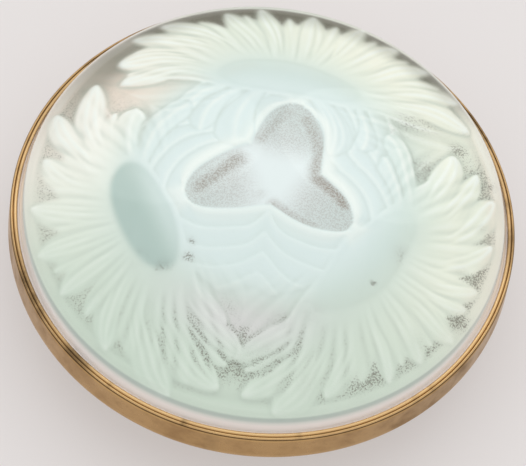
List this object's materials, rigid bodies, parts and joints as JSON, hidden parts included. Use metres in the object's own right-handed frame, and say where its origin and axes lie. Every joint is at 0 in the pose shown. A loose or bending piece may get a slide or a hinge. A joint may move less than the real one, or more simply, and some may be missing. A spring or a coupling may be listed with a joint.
{
  "type": "sew on button",
  "caption": "Round domed coat button: moulded glass with a flower relief in a brass bezel, with a back plate and a thread eye for sewing on.",
  "frame": {"origin": "centre of the thread eye's hole, under the middle of the back plate", "axes": "+Z out of the button's face, +Y along the thread eye's hole, +X across the eye"},
  "size_m": [0.034, 0.034, 0.0135],
  "materials": {
    "glass": "polished face over a frosted, stained relief",
    "foil": "thin bright foil",
    "card": "pressed card",
    "bezel_brass": "gilt brass, rubbed and tarnished",
    "back_brass": "gilt brass, dull",
    "solder": "soft solder, dull",
    "strip": "rolled brass strip, a little worn"
  },
  "bodies": {
    "root": {"glass_cabochon": "glass", "foil_liner": "foil", "packing_disc": "card", "bezel_ring": "bezel_brass", "back_plate": "back_brass", "shank_washer": "back_brass", "shank_solder": "solder", "shank_eye": "strip"}
  },
  "joints": []
}
